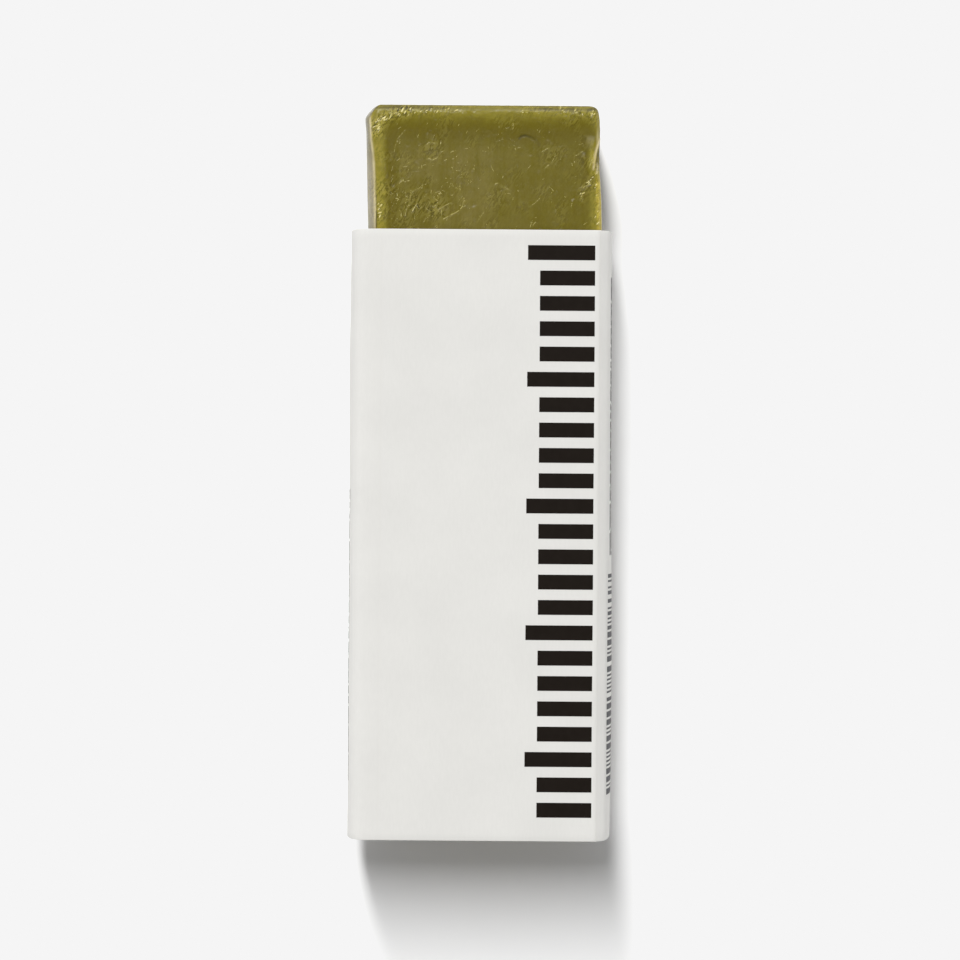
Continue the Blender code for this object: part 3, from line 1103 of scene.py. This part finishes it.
def light_through(s):
    """How much light coming through the soap is painted into its colour, by its rims and flanks, with the
    pinched right flank's highlight.
    """
    right_flank = hump(s.v, 8.5 * MM, 3.4 * MM, 0.8) * (1 - ramp(s.from_right, 0.9 * MM, 2.5 * MM))
    low_flank = (0.45 + 0.2 * ramp(s.v, 12 * MM, 16 * MM)) * ramp(s.v, 7 * MM, 13 * MM)
    low_flank *= 1 - ramp(s.from_right, 0.5 * MM, 3.5 * MM)
    left_rim = 0.62 * rim_share(s.from_left, s.v, LEFT_RIM, LEFT_RIM_FADE)
    right_rim = 0.5 * rim_share(s.from_right, s.v, RIGHT_RIM, RIGHT_RIM_FADE)
    rim = np.maximum.reduce([left_rim, right_rim, right_flank, low_flank])
    thin_right = ramp(s.v, 10 * MM, 12 * MM) * (1 - ramp(s.from_right, 0.5 * MM, 1.1 * MM))
    thin_tip = hump(s.v, 0.75 * MM, 0.45 * MM) * ramp(s.x, -2 * MM, 6 * MM)
    thin_tip *= ramp(s.from_right, 1 * MM, 3 * MM)
    return rim + (0.95 - rim) * np.maximum(thin_right, 0.25 * thin_tip)


def painted_ridge_highlights(s):
    """Painted highlights: paler lines along both worn edges, and along the wrinkles of the pinched flank.
    """
    left = hump(s.from_left, s.facet - 0.12 * MM, 0.2 * MM) * (0.8 + 0.5 * s.worn)
    left *= (1 - 0.35 * ramp(s.v, 14 * MM, 19 * MM)) * ramp(s.v, 1.4 * MM, 2.6 * MM)
    right = hump(s.from_right, 0.4 * MM, 0.18 * MM) * (0.08 + 0.24 * hump(s.v, 5.2 * MM, 2.4 * MM))
    ridges = [left, right * (0.7 + 1.0 * s.worn)]
    for pixels, _ in WRINKLES:
        ridges.append(s.on_line(pixels, WRINKLE_WIDTH) * (0.85 + 0.6 * s.worn))
    return np.maximum.reduce(ridges)


def facet_groove(s):
    """The groove beside the facet, towards the card; the same share also paints shade in it."""
    groove = hump(s.from_left, s.facet + 0.12 * MM, 0.1 * MM) * ramp(s.v, 9 * MM, 13 * MM)
    return groove * (0.4 + 0.4 * ramp(s.v, 16 * MM, 18 * MM))


def nail_crescent(s):
    """The mark of a fingernail, deepest at its left end."""
    start, end = spot(*NAIL_MARK[0])[0], spot(*NAIL_MARK[-1])[0]
    fading = 1 - 0.75 * ramp(s.x, start + 0.8 * MM, end)
    return hump(s.from_line(NAIL_MARK), 0, NAIL_WIDTH) * fading * s.shown


def small_pit(s):
    """A pit, a little wider than it is long."""
    x, y = spot(*PIT)
    return hump(np.hypot(s.x - x, (s.y - y) * 1.4), 0, PIT_WIDTH) * s.shown


def dark_lines(s, facet_line, pit, crescent):
    """Where the colour is painted darker: painted shade beside the facet, in the pit and the nail's mark,
    beyond the pinched flank's strand and at the card's edge, and a darker line along the tip's edge.
    """
    strand = np.array(spots(STRAND))[::-1]
    # Painted shade on the flank beyond the strand, its shadow side.
    beyond = ramp(s.x - np.interp(s.y, strand[:, 1], strand[:, 0]), 0.12 * MM, 0.26 * MM)
    tip_left = 0.3 + 0.35 * (1 - ramp(s.x, -8 * MM, -2 * MM))
    tip_line = tip_left * hump(s.v, 0.45 * MM, 0.25 * MM)
    tip_line += 0.5 * ramp(s.x, 3 * MM, 12 * MM) * hump(s.v, 0.62 * MM, 0.26 * MM)
    lines = [facet_line, pit, 0.75 * crescent, tip_line * (0.85 + 0.6 * s.worn)]
    lines.append(0.75 * beyond * hump(s.v, 7.7 * MM, 1.8 * MM))
    lines.append(0.3 * (1 - ramp(s.v, 0.1 * MM, 0.3 * MM)))
    # Painted shadow of the card's edge: a thin line across the soap at the mouth.
    lines.append(0.2 * hump(s.v, BAR_PUSHED_OUT - 0.05 * MM, 0.22 * MM))
    return np.maximum.reduce(lines)


def milky_haze(s):
    """A dry haze inside the rims, denser where the soap is scuffed. Along the facet it is a painted
    reflection instead, paler and greyer.
    """
    inside = ramp(s.from_left, LEFT_RIM + 0.5 * MM, LEFT_RIM + 2.6 * MM)
    inside *= ramp(s.from_right, RIGHT_RIM + 0.8 * MM, RIGHT_RIM + 2.6 * MM)
    inside *= ramp(s.v, TIP_RIM + 1.5 * MM, TIP_RIM + 5 * MM)
    haze = inside * (0.35 + 0.6 * s.round_place(HAZE_MIDDLE, HAZE_REACH) - 0.4 * s.rubbed)
    on_facet = (s.from_left < s.facet) & (s.facing < 0.7) & (s.facing > 0.1)
    return np.where(on_facet, 0.9 * ramp(s.v, 7 * MM, 13 * MM), haze)


def skin_lift(s, rim):
    """How far the face is sunk between its rims, streaked, dented and crinkled."""
    facing_up = ramp(s.facing, 0.2, 0.8)
    streak = rough_noise(s.points * (1, 0.07, 1), 1.6 * MM, 3.7)
    lift = -FACE_SINK * (1 - ramp(rim, 0, 0.5)) * facing_up
    lift += STREAK_HEIGHT * streak * facing_up + DENT_HEIGHT * 0.5 * s.swell
    tip = hump(s.v, 0.4 * MM, 0.7 * MM)
    lift += DENT_HEIGHT * s.noise(1.1 * MM, 23.1) * (0.06 + 0.2 * rim + 0.5 * tip)
    edges = hump(s.v, 0.5 * MM, 0.9 * MM) + 0.6 * hump(s.from_right, 0.3 * MM, 0.8 * MM)
    return lift + CRINKLE_HEIGHT * s.noise(0.55 * MM, 77.7) * edges


def add_nicks(s, lift):
    """Small round nicks and grains all over the part that shows."""
    picks = np.random.default_rng(17)
    middle_x = picks.uniform(-BAR_WIDTH / 2, BAR_WIDTH / 2, NICK_COUNT)
    middle_v = picks.uniform(0, BAR_PUSHED_OUT, NICK_COUNT)
    sizes = picks.uniform(0.14, 0.34, NICK_COUNT) * MM
    heights = picks.uniform(-0.02, 0.012, NICK_COUNT) * MM
    on_top = np.flatnonzero(s.shown > 0.5)
    for nick_x, nick_v, size, height in zip(middle_x, middle_v, sizes, heights):
        gap = np.hypot(s.x[on_top] - nick_x, s.v[on_top] - nick_v)
        close = gap < 3 * size
        lift[on_top[close]] += height * hump(gap[close], 0, size)


def flakes_and_crinkles(s, upward):
    """The shares of fine specks, lifted slivers and crinkled skin."""
    patches = ramp(s.noise(2.6 * MM, 41.9), 0.05, 0.5)
    specks = 0.002 + (0.006 + 0.03 * s.rubbed) * patches
    slivers = np.zeros(len(patches))
    plain = 0.05 + 0.22 * patches
    crinkled = plain
    for pixel, reach, share in CRINKLED:
        near = s.round_place(spot(*pixel), (reach * MM, reach * MM))
        crinkled = np.maximum(crinkled, share * near * (0.7 + 0.3 * patches))
    for pixels, share, reach in CRESTS:
        gap = s.from_line(pixels)
        specks = np.maximum(specks, 0.5 * share * hump(gap, 0, reach))
        slivers = np.maximum(slivers, share * hump(gap, 0, reach))
        crinkled = np.maximum(crinkled, min(1.4 * share, 1) * hump(gap, 0, 2.2 * reach))
    return specks, slivers, plain + (np.clip(crinkled, 0, 1) - plain) * upward


def soap_bar(material):
    """The worn bar: its shape, the marks that lift or sink its skin, and those that colour it."""
    lattice, quads = box_shell(*bar_lines())
    across, from_tip, up = lattice.T
    points = bar_shape(across, from_tip, up)
    bar = new_piece("worn_soap_bar", points, quads[:, ::-1])
    s = Skin(bar, points, from_tip, up)

    rim, ridge, facet_line = light_through(s), painted_ridge_highlights(s), facet_groove(s)
    pit, crescent = small_pit(s), nail_crescent(s)
    groove = dark_lines(s, facet_line, pit, crescent)
    haze = milky_haze(s)
    steep = np.where((s.x > 0) & (s.v >= 0.5 * MM), ramp(s.facing, 0.0, 0.35), ramp(s.facing, 0.5, 0.85))
    lift = skin_lift(s, rim)
    scuff = np.zeros(len(points))
    for pixels, depth in SCRATCHES:
        scratched = s.on_line(pixels, SCRATCH_WIDTH)
        lift -= SCRATCH_SHARE * depth * scratched
        scuff += 0.35 * scratched
    for pixels, height in WRINKLES:
        lift += height * s.on_line(pixels, WRINKLE_WIDTH)
    lift -= GROOVE_DEPTH * facet_line * s.shown
    lift -= PIT_DEPTH * pit
    lift -= NAIL_DEPTH * crescent
    add_nicks(s, lift)
    points += s.normals * lift[:, None]
    bar.data.vertices.foreach_set("co", points.astype(np.float32).ravel())
    bar.data.update()

    facing = ramp(s.facing, 0.1, 0.45)
    upward = facing * s.shown
    fading = facing * ramp(BAR_PUSHED_OUT + MARKS_FADE - s.v, 0, MARKS_FADE)
    specks, slivers, crinkled = flakes_and_crinkles(s, upward)
    off_edges = ramp(s.v, 0.3 * MM, 0.6 * MM) * ramp(s.from_right, 0.35 * MM, 0.6 * MM)
    from_face = BAR_THICKNESS / 2 * (1 - np.abs(s.up))
    nearest = np.sort([np.minimum(s.from_left, s.from_right), s.v, from_face], axis=0)
    # Faint painted light coming through, on the sides near the bar's edges.
    near_edges = (1 - ramp(nearest[1], 0.3 * MM, 1.9 * MM)) * (0.75 + 0.5 * s.swell)
    low_edge = 0.3 * near_edges * (1 - ramp(s.facing, 0, 0.3)) * (s.v < BAR_PUSHED_OUT + 2 * MM)
    # Painted reflection: the facet's paler, greyer colour stands for the bright room reflected in its steep
    # gloss.
    film = ramp(s.v, 5.5 * MM, 11 * MM) * ramp(s.facing, 0.08, 0.35) * (s.from_left < s.facet)
    film *= 1 - ramp(s.v, BAR_PUSHED_OUT - 1 * MM, BAR_PUSHED_OUT + 9 * MM)
    values = {
        "crinkle": crinkled * (0.25 + 0.75 * fading),
        "crumbs": specks * fading,
        "lips": slivers * upward * off_edges,
        "ridge": np.clip(ridge, 0, 1) * upward,
        "groove": np.clip(groove, 0, 1) * upward,
        "rim": np.maximum(rim * steep, low_edge),
        "dull": hump(s.v, 0.35 * MM, 0.45 * MM) * facing,
        "haze": haze,
        "film": np.clip(film * (0.85 + 0.3 * s.worn), 0, 1),
        "scuff": np.clip(scuff, 0, 1) * s.shown,
    }
    for name, value in values.items():
        set_attribute(bar, name, value)
    bar.data.materials.append(material)
    keep(bar, "bar", "soap", "soap_bar")
    return bar


# Flakes and threads of soap on the bar.


def burr_tree():
    """Turns each line into a thin raised thread of soap, thicker and thinner along its length."""
    tree, given = new_tree("scratch_burrs", {"Thickness": "Float", "Soap": "Material"})
    spread = texture(tree, add(tree, "GeometryNodeInputPosition").outputs[0], 3200.0)
    share = mapped(tree, spread, 0.42, 0.56, 0.12, 1.15)
    heavier = times(tree, share, stored(tree, "weight"))
    radius = times(tree, heavier, given["Thickness"])
    line = add(tree, "GeometryNodeMeshToCurve", {"Mesh": given["Geometry"]}).outputs[0]
    section = add(tree, "GeometryNodeCurvePrimitiveCircle", {"Resolution": 6, "Radius": 1.0})
    inputs = {"Curve": line, "Profile Curve": section.outputs["Curve"], "Scale": radius, "Fill Caps": True}
    solid = add(tree, "GeometryNodeCurveToMesh", inputs).outputs[0]
    return finish_tree(tree, solid, given["Soap"])


def faint_lines(picks):
    """Short bent lines scattered over the face, half of them where it is rubbed, each with its
    weight."""
    lines, weights = [], []
    least_x = -BAR_WIDTH / 2 + FAINT_FROM_LEFT
    for _ in range(FAINT_BURRS):
        length = picks.uniform(0.15, 1.1) * MM
        heading = picks.normal(0.9, 0.7)
        bend = picks.uniform(-1.2, 1.2)
        x = picks.uniform(least_x, BAR_WIDTH / 2 - 2 * MM)
        y = TIP - picks.uniform(3 * MM, BAR_PUSHED_OUT + 4 * MM)
        if picks.uniform() < 0.5:
            x = picks.normal(RUBBED_MIDDLE[0], 0.7 * RUBBED_REACH[0])
            y = min(picks.normal(RUBBED_MIDDLE[1], 0.7 * RUBBED_REACH[1]), TIP - 3 * MM)
        x = max(x, least_x)
        y = max(y, MOUTH - 10 * MM)
        corners = [(x, y)]
        for _ in range(4):
            x += length / 4 * math.cos(heading)
            y += length / 4 * math.sin(heading)
            heading += bend / 4
            corners.append((x, y))
        lines.append(bent_line(corners, BURR_STEP))
        weights.append(FAINT_WEIGHT * picks.uniform(0.5, 1.3))
    return lines, weights


def scratch_burrs(bar, material):
    """Threads of soap raised along the scratches, and many fainter ones picked at random."""
    polygons = [polygon.vertices[:] for polygon in bar.data.polygons]
    surface = BVHTree.FromPolygons([vertex.co for vertex in bar.data.vertices], polygons)
    picks = np.random.default_rng(29)
    lines, weights = faint_lines(picks)
    lines = [bent_line(spots(pixels), BURR_STEP) for pixels, _ in SCRATCHES] + lines
    weights = [depth / USUAL_DEPTH for _, depth in SCRATCHES] + weights
    points, edges, sizes = [], [], []
    for line, weight in zip(lines, weights):
        line = line + picks.normal(0, BURR_WOBBLE / 2, line.shape)
        for index, (x, y) in enumerate(line):
            hit = surface.ray_cast(Vector((x, y, FRONT * 2)), Vector((0, 0, -1)))[0]
            if index:
                edges.append((len(points) - 1, len(points)))
            points.append((x, y, hit.z - BURR_SUNK))
            sizes.append(weight)
    burrs = new_piece("scratch_burrs", points, edges=edges)
    set_attribute(burrs, "weight", sizes)
    bake(burrs, burr_tree(), {"Thickness": BURR_THICKNESS, "Soap": material})
    keep(burrs, "bar", "soap")


def crumb_tree():
    """Scatters small flakes over the surface, closest where the named attribute is highest."""
    sizes = {"Density": "Float", "Smallest": "Float", "Largest": "Float", "Seed": "Int"}
    sizes |= dict.fromkeys(("Slimmest", "Fullest", "Least Turn", "Most Turn"), "Vector")
    tree, given = new_tree("soap_crumbs", sizes | {"Where": "String", "Soap": "Material"})
    density = times(tree, stored(tree, given["Where"]), given["Density"])
    inputs = {"Mesh": given["Geometry"], "Density": density, "Seed": given["Seed"]}
    points = add(tree, "GeometryNodeDistributePointsOnFaces", inputs).outputs["Points"]
    flake = add(tree, "GeometryNodeMeshIcoSphere", {"Radius": 1.0, "Subdivisions": 1}).outputs["Mesh"]
    length = picked(tree, "FLOAT", given["Smallest"], given["Largest"], 3)
    shape = picked(tree, "FLOAT_VECTOR", given["Slimmest"], given["Fullest"], 4)
    turn = picked(tree, "FLOAT_VECTOR", given["Least Turn"], given["Most Turn"], 5)
    scale = vector_maths(tree, "SCALE", shape, length)
    inputs = {"Points": points, "Instance": flake, "Rotation": turn, "Scale": scale}
    placed = add(tree, "GeometryNodeInstanceOnPoints", inputs).outputs[0]
    return finish_tree(tree, placed, given["Soap"])


def soap_crumbs(name, bar, values):
    """Flakes that the edge of the card and the hand have scraped up along the rims."""
    crumbs = new_object(name, bar.data.copy())
    bake(crumbs, crumb_tree(), values)
    keep(crumbs, "bar", "soap")


def main():
    camera()
    key_light()
    room()
    exposure()
    floor()

    section = section_curve()
    folding = folding_tree()
    card_sleeve(folding, section, board_material())
    tree = print_tree(folding)
    printed("front_scale_print", tree, section, front_scale(), ink_material())
    tint = small_print_material()
    marks = plain_rules("right panel", *RIGHT_RULES, 5) + plain_bars("right panel", *RIGHT_BARS, 8)
    printed("right_side_print", tree, section, marks, tint)
    printed("left_side_print", tree, section, plain_rules("left panel", *LEFT_RULES, 11), tint)
    bpy.data.objects.remove(section)

    bar = soap_bar(soap_material())
    flakes = flake_material("scraped_soap_flakes", "#9c8f40", "#ded285")
    lips = flake_material("lifted_soap_lips", "#c9bb66", "#f2e7a2")
    scratch_burrs(bar, flakes)
    specks = {
        "Density": 5.5e6,
        "Smallest": 0.025 * MM,
        "Largest": 0.062 * MM,
        "Seed": 9,
        "Slimmest": (0.6, 0.6, 0.4),
        "Fullest": (1.6, 1.0, 0.7),
        "Least Turn": (-0.5, -0.5, 0.0),
        "Most Turn": (0.5, 0.5, math.tau),
        "Where": "crumbs",
        "Soap": flakes,
    }
    slivers = {
        "Density": 5.4e6,
        "Smallest": 0.09 * MM,
        "Largest": 0.2 * MM,
        "Seed": 4,
        "Slimmest": (1.3, 0.4, 0.3),
        "Fullest": (2.5, 0.7, 0.5),
        "Least Turn": (0.0, -0.3, 0.35),
        "Most Turn": (0.5, 0.3, 1.15),
        "Where": "lips",
        "Soap": lips,
    }
    soap_crumbs("soap_specks", bar, specks)
    soap_crumbs("soap_slivers", bar, slivers)
    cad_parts["seam_glue"].material_slots[0].material = glue_material()


main()
